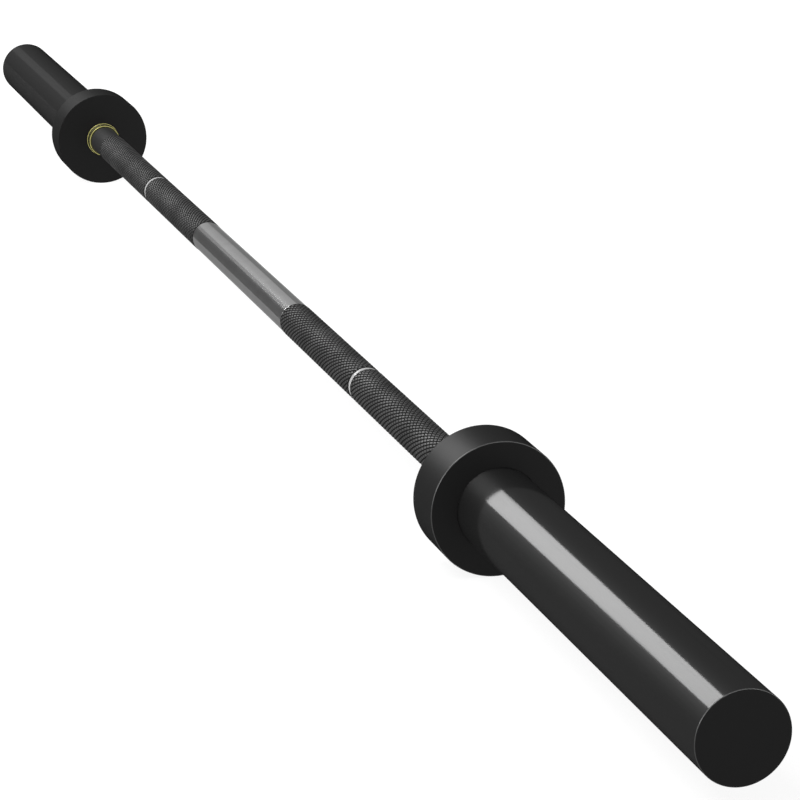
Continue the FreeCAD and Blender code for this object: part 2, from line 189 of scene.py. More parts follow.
class NodeBench:
    """Adds and links the nodes of one material or of the world."""

    def __init__(self, owner: bpy.types.Material | bpy.types.World) -> None:
        """Start with an empty node tree.

        Args:
            owner: the material or world that the nodes belong to
        """
        owner.use_nodes = True
        self.tree = owner.node_tree
        self.tree.nodes.clear()

    def add(
        self,
        kind: str,
        settings: dict[str, Any] | None = None,
        inputs: dict[str | int, Term] | None = None,
    ) -> bpy.types.Node:
        """Add a node of any kind.

        Args:
            kind: the node's type
            settings: properties that are set first
            inputs: numbers, colours or signals for its sockets, by name or index

        Returns:
            The new node.
        """
        node = self.tree.nodes.new(kind)
        for name, value in (settings or {}).items():
            setattr(node, name, value)
        for key, value in (inputs or {}).items():
            if isinstance(value, Signal):
                self.tree.links.new(value.socket, node.inputs[key])
            else:
                node.inputs[key].default_value = value
        return node

    def pick(self, node: bpy.types.Node, output: str | int = 0) -> Signal:
        """Return one output of a node as a signal."""
        return Signal(self, node.outputs[output])

    def place(self, scale: Sequence[float] = (1.0, 1.0, 1.0)) -> Signal:
        """Return the object's own coordinates, stretched by a scale along each axis."""
        coordinates = self.pick(self.add("ShaderNodeTexCoord"), "Object")
        return self.pick(self.add("ShaderNodeMapping", inputs={"Vector": coordinates, "Scale": scale}))

    def noise(self, place: Signal, detail: float = NOISE_DETAIL) -> Signal:
        """Return a cloudy number from 0 to 1 with one swell to each unit of place."""
        inputs = {"Vector": place, "Scale": 1.0, "Detail": detail}
        return self.pick(self.add("ShaderNodeTexNoise", inputs=inputs))

    def clouds(self, size: float, detail: float = NOISE_DETAIL) -> Signal:
        """Return a cloudy number from 0 to 1 with swells of one size in every direction."""
        return self.noise(self.place([1 / size] * 3), detail)

    def ramp(self, value: Signal, low: float, high: float) -> Signal:
        """Return a number that runs from 0 to 1 as value goes from low to high, and stays there."""
        inputs = {"Value": value, "From Min": low, "From Max": high}
        return self.pick(self.add("ShaderNodeMapRange", {"clamp": True}, inputs))

    def mix_colour(self, factor: Signal, first: Colour, second: Colour) -> Signal:
        """Return first where factor is 0 and second where it is 1."""
        inputs = {MIX_FACTOR: factor, MIX_FIRST: opaque(first), MIX_SECOND: opaque(second)}
        return self.pick(self.add("ShaderNodeMix", {"data_type": "RGBA"}, inputs), MIX_RESULT)

    def radius(self) -> Signal:
        """Measure how far the surface is from the bar's axis.

        Returns:
            The distance in metres.
        """
        axes = self.add("ShaderNodeSeparateXYZ", inputs={0: self.place()})
        across = self.pick(axes, "Y")
        up = self.pick(axes, "Z")
        return (across * across + up * up) ** 0.5

    def slant(self) -> Signal:
        """Return 0 where the surface is seen straight on and 1 where it is seen edge on."""
        return self.pick(self.add("ShaderNodeLayerWeight", inputs={"Blend": EVEN_BLEND}), "Facing")

    def seen_directly(self, glossy_share: float, scatter_share: float = 0.0) -> Signal:
        """Tell how much of the background's white a ray takes.

        Args:
            glossy_share: share of the white that reflections take
            scatter_share: share of the white that matt surfaces take

        Returns:
            1 for rays from the camera or through glass, and the shares for the others.
        """
        path = self.add("ShaderNodeLightPath")
        direct = self.pick(path, "Is Camera Ray") + self.pick(path, "Is Transmission Ray")
        scattered = scatter_share * self.pick(path, "Is Diffuse Ray")
        return direct + glossy_share * self.pick(path, "Is Glossy Ray") + scattered

    def bump(self, height: Signal, depth: float, strength: float) -> Signal:
        """Return a normal that is roughened by height, depth metres from low to high."""
        inputs = {"Height": height, "Distance": depth, "Strength": strength}
        return self.pick(self.add("ShaderNodeBump", inputs=inputs))

    def surface(self, shader: bpy.types.Node) -> None:
        """Make a shader node the surface of the material or the world."""
        kind = "ShaderNodeOutputWorld" if shader.type == "BACKGROUND" else "ShaderNodeOutputMaterial"
        self.add(kind, inputs={"Surface": self.pick(shader)})


# Finishes


@dataclass(frozen=True)
class Finish:
    """What every finish has: a name, and a Principled shader whose sockets it fills in its own way."""

    name: str

    def sockets(self, bench: NodeBench) -> dict[str | int, Term]:
        """Return values and signals for the shader's sockets, by name."""
        raise NotImplementedError

    def material(self) -> bpy.types.Material:
        """Make the material of this finish.

        Returns:
            The new material.
        """
        material = bpy.data.materials.new(self.name)
        bench = NodeBench(material)
        bench.surface(bench.add("ShaderNodeBsdfPrincipled", inputs=self.sockets(bench)))
        return material


@dataclass(frozen=True)
class BlackCoat(Finish):
    """Black plating over turned steel: satin, under a clear gloss with faint drag marks along the bar."""

    colour: Colour = grey(0.025)
    # painted shade: where the coat is seen edge on, its colour darkens to this
    low_angle_painted_shade: Colour = grey(0.015)
    gloss: float = 0.35  # weight of the clear layer on top
    gloss_roughness: float = 0.12
    satin_share: float = 0.95  # share of the colour that mirrors softly; the rest scatters
    satin_roughness: float = 0.55
    edge_tint: float = 0.5
    low_angle_start: float = 0.4  # from here on, seen at ever lower angles, satin and gloss fade and the colour darkens as painted shade
    low_angle_end: float = 0.95
    cloud_size: float = 30 * MM
    cloud_detail: float = 3.0
    cloud_roughness: float = 0.06  # how far the roughness swings from cloud to cloud
    drag_length: float = 250 * MM
    drag_width: float = 1.2 * MM
    drag_start: float = 0.6  # share of the noise above which a mark shows
    drag_end: float = 0.8
    drag_dullness: float = 0.25  # share of the gloss that a mark takes
    grain_size: float = 0.8 * MM
    grain_depth: float = 0.002 * MM
    grain_strength: float = 0.3

    def sockets(self, bench: NodeBench) -> dict[str | int, Term]:
        """Let satin and gloss fade towards low angles, where the colour also darkens as painted shade,
        with clouds, drag marks and grain.

        Args:
            bench: node tree of the material

        Returns:
            Values and signals by socket.
        """
        clouds = bench.clouds(self.cloud_size, self.cloud_detail)
        across = 1 / self.drag_width
        streaks = bench.noise(bench.place((1 / self.drag_length, across, across)))
        drag = bench.ramp(streaks, self.drag_start, self.drag_end)
        grain = bench.clouds(self.grain_size)
        low_angle = bench.ramp(bench.slant(), self.low_angle_start, self.low_angle_end)
        steep = 1 - low_angle
        return {
            # painted shade: the colour darkens where the coat is seen edge on
            "Base Color": bench.mix_colour(low_angle, self.colour, self.low_angle_painted_shade),
            "Metallic": self.satin_share * steep,
            "Roughness": self.satin_roughness + self.cloud_roughness * (clouds - NOISE_MIDDLE),
            "Specular IOR Level": 0.0,
            "Specular Tint": opaque(grey(self.edge_tint)),
            "Coat Weight": self.gloss * steep * (1 - self.drag_dullness * drag),
            "Coat Roughness": self.gloss_roughness,
            "Normal": bench.bump(grain, self.grain_depth, self.grain_strength),
        }


@dataclass(frozen=True)
class TurnedMetal(Finish):
    """Bare metal with fine turning lines round the bar and faint stains."""

    colour: Colour
    roughness: float
    sheen_share: float = 1.0  # share of the colour that mirrors; the rest scatters
    edge_tint: float = 0.6
    stain: float = 0.12  # share of the colour that a stain takes; clean spots gain half as much
    stain_size: float = 18 * MM
    stain_detail: float = 4.0
    line_pitch: float = 0.25 * MM
    line_depth: float = 0.00005 * MM
    line_strength: float = 0.5
    line_roughness: float = 0.02  # how far the roughness swings from line to line

    def sockets(self, bench: NodeBench) -> dict[str | int, Term]:
        """Stain the metal and draw its turning lines.

        Args:
            bench: node tree of the material

        Returns:
            Values and signals by socket.
        """
        stains = bench.clouds(self.stain_size, self.stain_detail)
        round_scale = 1 / self.stain_size
        lines = bench.noise(bench.place((1 / self.line_pitch, round_scale, round_scale)))
        stained = shaded(self.colour, 1 - self.stain)
        clean = shaded(self.colour, 1 + self.stain / 2)
        return {
            "Base Color": bench.mix_colour(stains, stained, clean),
            "Metallic": self.sheen_share,
            "Specular IOR Level": 0.0,
            "Specular Tint": opaque(grey(self.edge_tint)),
            "Roughness": self.roughness + self.line_roughness * (lines - NOISE_MIDDLE),
            "Normal": bench.bump(lines, self.line_depth, self.line_strength),
        }


@dataclass(frozen=True)
class KnurlOxide(Finish):
    """Blackened steel of the grips: dark in the grooves, rubbed brighter on the crests."""

    root_radius: float
    crest_radius: float
    colour: Colour = grey(0.016)
    rubbed_colour: Colour = grey(0.168)
    sheen_share: float = 0.35  # share of the colour that mirrors; the rest scatters
    edge_tint: float = 0.5
    roughness: float = 0.45
    rubbed_roughness: float = 0.4
    rubbed_share: float = 0.6  # how far the crests are rubbed through, on average
    patch_swing: float = 0.8  # how much that differs from patch to patch
    patch_size: float = 25 * MM
    patch_detail: float = 3.0

    def sockets(self, bench: NodeBench) -> dict[str | int, Term]:
        """Rub the upper half of each diamond brighter, more in some patches than in others.

        Args:
            bench: node tree of the material

        Returns:
            Values and signals by socket.
        """
        patches = bench.clouds(self.patch_size, self.patch_detail)
        half_height = (self.root_radius + self.crest_radius) / 2
        height = bench.ramp(bench.radius(), half_height, self.crest_radius)
        rubbed = height * (self.rubbed_share + self.patch_swing * (patches - NOISE_MIDDLE))
        return {
            "Base Color": bench.mix_colour(rubbed, self.colour, self.rubbed_colour),
            "Metallic": self.sheen_share,
            "Specular IOR Level": 0.0,
            "Specular Tint": opaque(grey(self.edge_tint)),
            "Roughness": self.roughness + (self.rubbed_roughness - self.roughness) * rubbed,
        }


@dataclass(frozen=True)
class SealRubber(Finish):
    """Matt black rubber with a fine moulded grain."""

    colour: Colour = grey(0.018)
    roughness: float = 0.7
    grain_size: float = 0.4 * MM
    grain_depth: float = 0.02 * MM
    grain_strength: float = 0.5
    grain_shade: float = 1.5  # the grain's high spots are lighter by this factor
    grain_roughness: float = 0.1  # how far the roughness swings over the grain

    def sockets(self, bench: NodeBench) -> dict[str | int, Term]:
        """Grain the rubber.

        Args:
            bench: node tree of the material

        Returns:
            Values and signals by socket.
        """
        grain = bench.clouds(self.grain_size)
        return {
            "Base Color": bench.mix_colour(grain, self.colour, shaded(self.colour, self.grain_shade)),
            "Roughness": self.roughness + self.grain_roughness * (grain - NOISE_MIDDLE),
            "Normal": bench.bump(grain, self.grain_depth, self.grain_strength),
        }


@dataclass(frozen=True)
class PaleFloor(Finish):
    """Matt pale floor that the camera sees as white, apart from the bar's shadow."""

    name: str = "pale_floor"
    colour: Colour = grey(0.3)
    lift: float = 0.79  # light added for the camera's view of the floor
    glossy_share: float = 0.17  # part of the lift that shows in metal
    scatter_share: float = 0.7  # part of the lift that lights matt surfaces

    def sockets(self, bench: NodeBench) -> dict[str | int, Term]:
        """Lift the floor to white for the camera, and less for other rays.

        Args:
            bench: node tree of the material

        Returns:
            Values and signals by socket.
        """
        seen = bench.seen_directly(self.glossy_share, self.scatter_share)
        return {
            "Base Color": opaque(self.colour),
            "Roughness": 1.0,
            "Specular IOR Level": 0.0,
            "Emission Color": bench.mix_colour(self.lift * seen, BLACK, WHITE),
            "Emission Strength": 1.0,
        }


# Mesh building


def reach(vertex: bmesh.types.BMVert | bpy.types.MeshVertex) -> float:
    """Return a vertex's distance from the bar's axis."""
    return math.hypot(vertex.co.y, vertex.co.z)


@dataclass(frozen=True)
class Corner:
    """A corner of a half section: its place along the bar, its radius and its rounding."""

    along: float
    radius: float
    rounding: float = 0.0
    worn_and_highlit: bool = True  # whether the rounded edge takes the lighter edge finish: partly wear, partly a painted highlight

    def holds(self, vertex: bmesh.types.BMVert) -> bool:
        """Return whether a vertex lies on the circle that this corner is spun into."""
        errors = (vertex.co.x - self.along, reach(vertex) - self.radius)
        return max(map(abs, errors)) < MATCH_DISTANCE


@dataclass(frozen=True)
class Span:
    """How far a solid reaches along the bar, counted outwards from the middle, and from the axis."""

    inner: float
    outer: float
    radius: float

    @classmethod
    def of_node(cls, node: str) -> "Span":
        """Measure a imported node.

        Args:
            node: name of the node

        Returns:
            Its span.
        """
        low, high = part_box(node)
        inner, outer = sorted((abs(low.x), abs(high.x)))
        radius = max(reach(vertex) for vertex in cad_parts[node].data.vertices)
        return cls(inner, outer, radius)


def turn_section(corners: Sequence[Corner], closed: bool = True) -> bmesh.types.BMesh:
    """Spin a half section about the bar's axis.

    Args:
        corners: corners of the section in order
        closed: whether the last corner joins the first, for a ring clear of the axis

    Returns:
        The mesh, with its normals recalculated.
    """
    mesh = bmesh.new()
    points = [mesh.verts.new((corner.along, corner.radius, 0.0)) for corner in corners]
    followers = points[1:] + points[:1] if closed else points[1:]
    for start, end in zip(points, followers):
        mesh.edges.new((start, end))
    spin_all(mesh, TURN_STEPS)
    bmesh.ops.remove_doubles(mesh, verts=mesh.verts[:], dist=MERGE_DISTANCE)
    bmesh.ops.recalc_face_normals(mesh, faces=mesh.faces[:])
    return mesh


def spin_all(mesh: bmesh.types.BMesh, steps: int) -> None:
    """Spin every edge of a mesh one full turn about the bar's axis.

    Args:
        mesh: the mesh, which takes in the new faces
        steps: flats in the full turn
    """
    bmesh.ops.spin(
        mesh,
        geom=mesh.verts[:] + mesh.edges[:],
        cent=(0.0, 0.0, 0.0),
        axis=(1.0, 0.0, 0.0),
        angle=math.tau,
        steps=steps,
        use_merge=True,
    )


def faces_inwards(face: bmesh.types.BMFace) -> bool:
    """Return whether a face of a tube looks towards the bar's axis."""
    middle = face.calc_center_median()
    return face.normal.y * middle.y + face.normal.z * middle.z < 0


def helix_turn(first: Vector, second: Vector) -> float:
    """Tell which way a line on the bar winds, as seen from the middle of the bar.

    Args:
        first: one end of the line
        second: the other end

    Returns:
        A number above 0 if the line turns from +Y towards +Z on its way outwards.
    """
    outwards = abs(second.x) - abs(first.x)
    return outwards * (first.y * second.z - first.z * second.y)


def push_to_radius(vertices: Iterable[bmesh.types.BMVert], radius: float) -> None:
    """Move vertices straight out from the axis, or in, to one radius.

    Args:
        vertices: the vertices
        radius: their new distance from the axis
    """
    for vertex in vertices:
        share = radius / reach(vertex)
        vertex.co.y *= share
        vertex.co.z *= share


def circle_edges(mesh: bmesh.types.BMesh, corner: Corner) -> list[bmesh.types.BMEdge]:
    """Return the edges of the circle that a corner of the section was spun into."""
    return [edge for edge in mesh.edges if all(corner.holds(vertex) for vertex in edge.verts)]


def round_corners(mesh: bmesh.types.BMesh, corners: Sequence[Corner]) -> None:
    """Round the corners that ask for it, and give the worn and highlit ones the edge finish, whose lighter
    colour is partly wear and partly a painted highlight.

    Args:
        mesh: the turned mesh
        corners: the corners of its section
    """
    for corner in corners:
        if corner.rounding:
            made = bmesh.ops.bevel(
                mesh,
                geom=circle_edges(mesh, corner),
                offset=corner.rounding,
                offset_type="OFFSET",
                segments=ROUNDING_STEPS,
                profile=0.5,
                affect="EDGES",
                material=-1,
            )
            for rounded in made["faces"]:
                # partly wear, partly painted highlight: worn and highlit edges take the lighter edge
                # finish
                rounded.material_index = CoatFace.EDGE if corner.worn_and_highlit else CoatFace.SMOOTH


def make_piece(
    mesh: bmesh.types.BMesh,
    name: str,
    materials: Sequence[bpy.types.Material],
) -> bpy.types.Object:
    """Turn a finished mesh into an object with even shading.

    Args:
        mesh: the finished mesh, which is used up
        name: name of the piece
        materials: its materials, in the order of its slots

    Returns:
        The new object, at the origin.
    """
    data = bpy.data.meshes.new(name)
    mesh.to_mesh(data)
    mesh.free()
    for material in materials:
        data.materials.append(material)
    data.shade_smooth()
    data.set_sharp_from_angle(angle=SHARP_ANGLE)
    piece = bpy.data.objects.new(name, data)
    bpy.context.scene.collection.objects.link(piece)
    shading = piece.modifiers.new("even_shading", "WEIGHTED_NORMAL")
    shading.mode = "FACE_AREA"
    shading.weight = FACE_AREA_WEIGHT
    shading.keep_sharp = True
    return piece


def hand_over(piece: bpy.types.Object, body: str, node: str) -> None:
    """Let a piece ride on its body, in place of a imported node.

    Args:
        piece: the finished piece
        body: body that carries it
        node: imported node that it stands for
    """
    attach(piece, body)
    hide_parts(node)
    LOG.info("%s: %d faces on %s", piece.name, len(piece.data.polygons), body)


def paint_node(node: str, material: bpy.types.Material) -> None:
    """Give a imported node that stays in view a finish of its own.

    Args:
        node: name of the node
        material: its finish
    """
    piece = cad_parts[node]
    piece.data.materials.clear()
    piece.data.materials.append(material)
    LOG.info("%s: packed solid, %s", node, material.name)


# Sub-assemblies


@dataclass
class Shaft:
    """The steel shaft: smooth bright centre, knurled grips, hand marks, plain ends and journals."""

    span: Span
    shoulder: float  # where the journal starts
    clip: Span
    centre_length: float = 264 * MM
    mark_spacing: float = 609.6 * MM
    mark_width: float = 4 * MM
    mark_radius: float = 12 * MM
    plain_radius: float = 12.2 * MM
    plain_start: float = 487.5 * MM
    journal_radius: float = JOURNAL_RADIUS
    journal_chamfer: float = 1 * MM
    clip_groove_radius: float = 10.5 * MM
    drill_radius: float = 3 * MM
    drill_depth: float = 4 * MM
    knurl_depth: float = 0.4 * MM
    knurl_starts: int = 24  # grooves of each hand round the bar
    knurl_pitch: float = 5.67 * MM  # length of one diamond along the bar
    flank_width: float = 0.45 * MM
    flank_share: float = 0.75  # share of the depth that the flanks take, below the rounded crest
    crest_width: float = 0.45 * MM
    row_stretch: float = 0.13  # added to each end of a crest, as a share of its length
    core_radius: float = 11.5 * MM  # under the knurled shells
    core_gap: float = 0.02 * MM
    edge_rounding: float = 0.25 * MM

    @property
    def root_radius(self) -> float:
        """Return the radius at the bottom of the knurl's grooves."""
        return self.span.radius - self.knurl_depth

    @property
    def grips(self) -> list[tuple[float, float]]:
        """Place the knurled stretches of one half.

        Returns:
            The start and end of each, counted outwards from the middle of the bar.
        """
        mark_start = (self.mark_spacing - self.mark_width) / 2
        mark_end = (self.mark_spacing + self.mark_width) / 2
        return [(self.centre_length / 2, mark_start), (mark_end, self.plain_start)]

    def core_section(self) -> list[Corner]:
        """Lay out the section of the shaft's right half.

        Returns:
            Its corners, from mid length to the drilled lathe centre.
        """
        (first_start, first_end), (second_start, second_end) = self.grips
        end = self.span.outer
        return [
            Corner(0.0, self.plain_radius),
            Corner(first_start, self.plain_radius, self.edge_rounding),
            Corner(first_start, self.core_radius),
            Corner(first_end, self.core_radius),
            Corner(first_end, self.mark_radius),
            Corner(second_start, self.mark_radius),
            Corner(second_start, self.core_radius),
            Corner(second_end, self.core_radius),
            Corner(second_end, self.plain_radius, self.edge_rounding),
            Corner(self.shoulder, self.plain_radius, self.edge_rounding),
            Corner(self.shoulder, self.journal_radius),
            Corner(self.clip.inner, self.journal_radius),
            Corner(self.clip.inner, self.clip_groove_radius),
            Corner(self.clip.outer, self.clip_groove_radius),
            Corner(self.clip.outer, self.journal_radius),
            Corner(end - self.journal_chamfer, self.journal_radius),
            Corner(end, self.journal_radius - self.journal_chamfer),
            Corner(end, self.drill_radius),
            Corner(end - self.drill_depth, 0.0),
        ]

    def face_at(self, along: float) -> ShaftFace:
        """Choose the finish of the turned core.

        Args:
            along: place along the bar

        Returns:
            The finish there.
        """
        distance = abs(along)
        if distance > self.shoulder:
            return ShaftFace.JOURNAL
        if distance >= self.plain_start:
            return ShaftFace.PLAIN
        if distance > self.centre_length / 2:
            return ShaftFace.MARK
        return ShaftFace.BRIGHT

    def turn_core(self) -> bmesh.types.BMesh:
        """Turn the shaft without its knurled shells.

        Returns:
            The closed core, with a finish on each face.
        """
        corners = self.core_section()
        mesh = turn_section(corners, closed=False)
        round_corners(mesh, corners)
        whole = mesh.verts[:] + mesh.edges[:] + mesh.faces[:]
        bmesh.ops.mirror(mesh, geom=whole, axis="X", merge_dist=MERGE_DISTANCE)
        bmesh.ops.remove_doubles(mesh, verts=mesh.verts[:], dist=MERGE_DISTANCE)
        bmesh.ops.recalc_face_normals(mesh, faces=mesh.faces[:])
        for face in mesh.faces:
            face.material_index = self.face_at(face.calc_center_median().x)
        return mesh

    def diamond_grid(self, start: float, end: float) -> bmesh.types.BMesh:
        """Wrap a grid of flat diamonds round the bar at the grooves' bottom.

        Args:
            start: one end of the knurled stretch
            end: the other end

        Returns:
            An open tube of diamonds, with half diamonds at its ends.
        """
        mesh = bmesh.new()
        rows = round(abs(end - start) / self.knurl_pitch)
        points = [mesh.verts.new((along, self.root_radius, 0.0)) for along in (start, end)]
        line = mesh.edges.new(points)
        bmesh.ops.subdivide_edges(mesh, edges=[line], cuts=rows - 1)
        spin_all(mesh, self.knurl_starts)
        squares = mesh.edges[:]
        poked = bmesh.ops.poke(mesh, faces=mesh.faces[:])
        push_to_radius(poked["verts"], self.root_radius)
        inner_edges = [edge for edge in squares if not edge.is_boundary]
        bmesh.ops.dissolve_edges(mesh, edges=inner_edges)
        bmesh.ops.recalc_face_normals(mesh, faces=mesh.faces[:])
        return mesh

    def lengthen_crests(self, crests: list[bmesh.types.BMFace]) -> None:
        """Stretch the diamonds along one hand of groove, so that they line up in rows.

        The rows of the bar's two halves mirror each other.

        Args:
            crests: the raised faces
        """
        for crest in crests:
            corners = crest.verts[:]
            if len(corners) != DIAMOND_CORNERS:
                continue
            if helix_turn(corners[0].co, corners[1].co) > 0:
                corners = corners[1:] + corners[:1]
            for one, other in (corners[:2], corners[2:]):
                shift = self.row_stretch * (one.co - other.co)
                one.co += shift
                other.co -= shift

    def raise_crests(self, mesh: bmesh.types.BMesh) -> None:
        """Give each diamond of a grid its flanks and its rounded crest.

        Args:
            mesh: the grid of flat diamonds, with its normals outwards
        """
        crests = mesh.faces[:]
        flank_depth = self.knurl_depth * self.flank_share
        bmesh.ops.inset_individual(
            mesh,
            faces=crests,
            thickness=self.flank_width,
            depth=flank_depth,
            use_even_offset=True,
        )
        self.lengthen_crests(crests)
        bmesh.ops.inset_individual(
            mesh,
            faces=crests,
            thickness=self.crest_width,
            depth=self.knurl_depth - flank_depth,
            use_even_offset=True,
        )
        push_to_radius({vertex for crest in crests for vertex in crest.verts}, self.span.radius)

    def close_tube(self, mesh: bmesh.types.BMesh) -> None:
        """Give an open tube of diamonds its end walls and a bore that clears the core.

        Args:
            mesh: the tube
        """
        rims = [edge for edge in mesh.edges if edge.is_boundary]
        walls = bmesh.ops.extrude_edge_only(mesh, edges=rims)["geom"]
        bore = (self.core_radius + self.core_gap) / math.cos(math.pi / self.knurl_starts)
        push_to_radius([item for item in walls if isinstance(item, bmesh.types.BMVert)], bore)
        bmesh.ops.bridge_loops(mesh, edges=[edge for edge in mesh.edges if edge.is_boundary])
        bmesh.ops.recalc_face_normals(mesh, faces=mesh.faces[:])

    def knurled_shell(self, start: float, end: float) -> bmesh.types.BMesh:
        """Make the knurled tube of one grip.

        Args:
            start: one end of the knurled stretch
            end: the other end

        Returns:
            The closed shell, which fits round the core.
        """
        mesh = self.diamond_grid(start, end)
        if faces_inwards(next(iter(mesh.faces))):
            bmesh.ops.reverse_faces(mesh, faces=mesh.faces[:])
        self.raise_crests(mesh)
        self.close_tube(mesh)
        for face in mesh.faces:
            face.material_index = ShaftFace.KNURL
        return mesh

    def add_shell(self, core: bmesh.types.BMesh, start: float, end: float) -> None:
        """Put the knurled tube of one grip round the core.

        Args:
            core: the turned core, which takes in the tube
            start: one end of the knurled stretch
            end: the other end
        """
        shell = self.knurled_shell(start, end)
        part = bpy.data.meshes.new("knurled_shell")
        shell.to_mesh(part)
        shell.free()
        core.from_mesh(part)
        bpy.data.meshes.remove(part)

    def materials(self) -> list[bpy.types.Material]:
        """Make the shaft's materials.

        Returns:
            The materials in the order of its slots.
        """
        bright = TurnedMetal("bright_steel", colour=grey(0.62), roughness=0.1)
        knurl = KnurlOxide("knurl_oxide", root_radius=self.root_radius, crest_radius=self.span.radius)
        plain = TurnedMetal("plain_oxide", colour=grey(0.045), roughness=0.45, sheen_share=0.3)
        journal = TurnedMetal("ground_journal", colour=grey(0.5), roughness=0.2)
        mark = TurnedMetal("bright_mark", colour=grey(0.6), roughness=0.12, sheen_share=0.25)
        return [finish.material() for finish in (bright, knurl, plain, journal, mark)]

    def build(self) -> None:
        """Build the shaft as one piece and hand it over."""
        mesh = self.turn_core()
        for side in Side:
            for start, end in self.grips:
                inner = side.value * (start + self.core_gap)
                outer = side.value * (end - self.core_gap)
                self.add_shell(mesh, inner, outer)
        piece = make_piece(mesh, "shaft_turned", self.materials())
        hand_over(piece, "shaft", "shaft")


@dataclass(frozen=True)
class SleeveFinishes:
    """The materials that both sleeves share."""

    coat: bpy.types.Material
    satin_coat: bpy.types.Material
    edge: bpy.types.Material
    bronze: bpy.types.Material
    bronze_edge: bpy.types.Material
    spring_steel: bpy.types.Material
    rubber: bpy.types.Material

    @classmethod
    def mix(cls) -> "SleeveFinishes":
        """Make the materials.

        Returns:
            The whole set.
        """
        coat = BlackCoat("sleeve_coat")
        satin_coat = BlackCoat("satin_coat", gloss=0.0, satin_roughness=0.48, edge_tint=0.8)
        # partly wear, partly painted highlight: the rounded coat edges are far lighter than the coat, to
        # draw a bright line along the rims
        edge = BlackCoat("coat_edge_wear_and_highlight", colour=grey(0.13), gloss=0.0, satin_roughness=0.3)
        # painted shade: the bronze's faces are far darker than bronze, so that they read as shaded between
        # the bright edges
        bronze = TurnedMetal("bearing_bronze", colour=(0.08, 0.077, 0.04), roughness=0.4, sheen_share=0.6)
        # partly wear, partly painted highlight: the rounded bronze edges are bright, to draw thin bright
        # lines round the bush
        bronze_edge = TurnedMetal("bronze_wear_and_highlight", colour=(0.9, 0.84, 0.3), roughness=0.3, sheen_share=0.5)
        spring_steel = TurnedMetal("spring_steel", colour=(0.16, 0.16, 0.17), roughness=0.4)
        rubber = SealRubber("seal_rubber")
        return cls(
            coat=coat.material(),
            satin_coat=satin_coat.material(),
            edge=edge.material(),
            bronze=bronze.material(),
            bronze_edge=bronze_edge.material(),
            spring_steel=spring_steel.material(),
            rubber=rubber.material(),
        )

    @property
    def bronzes(self) -> list[bpy.types.Material]:
        """Return the materials of a bronze piece's faces and rounded edges."""
        return [self.bronze, self.bronze_edge]


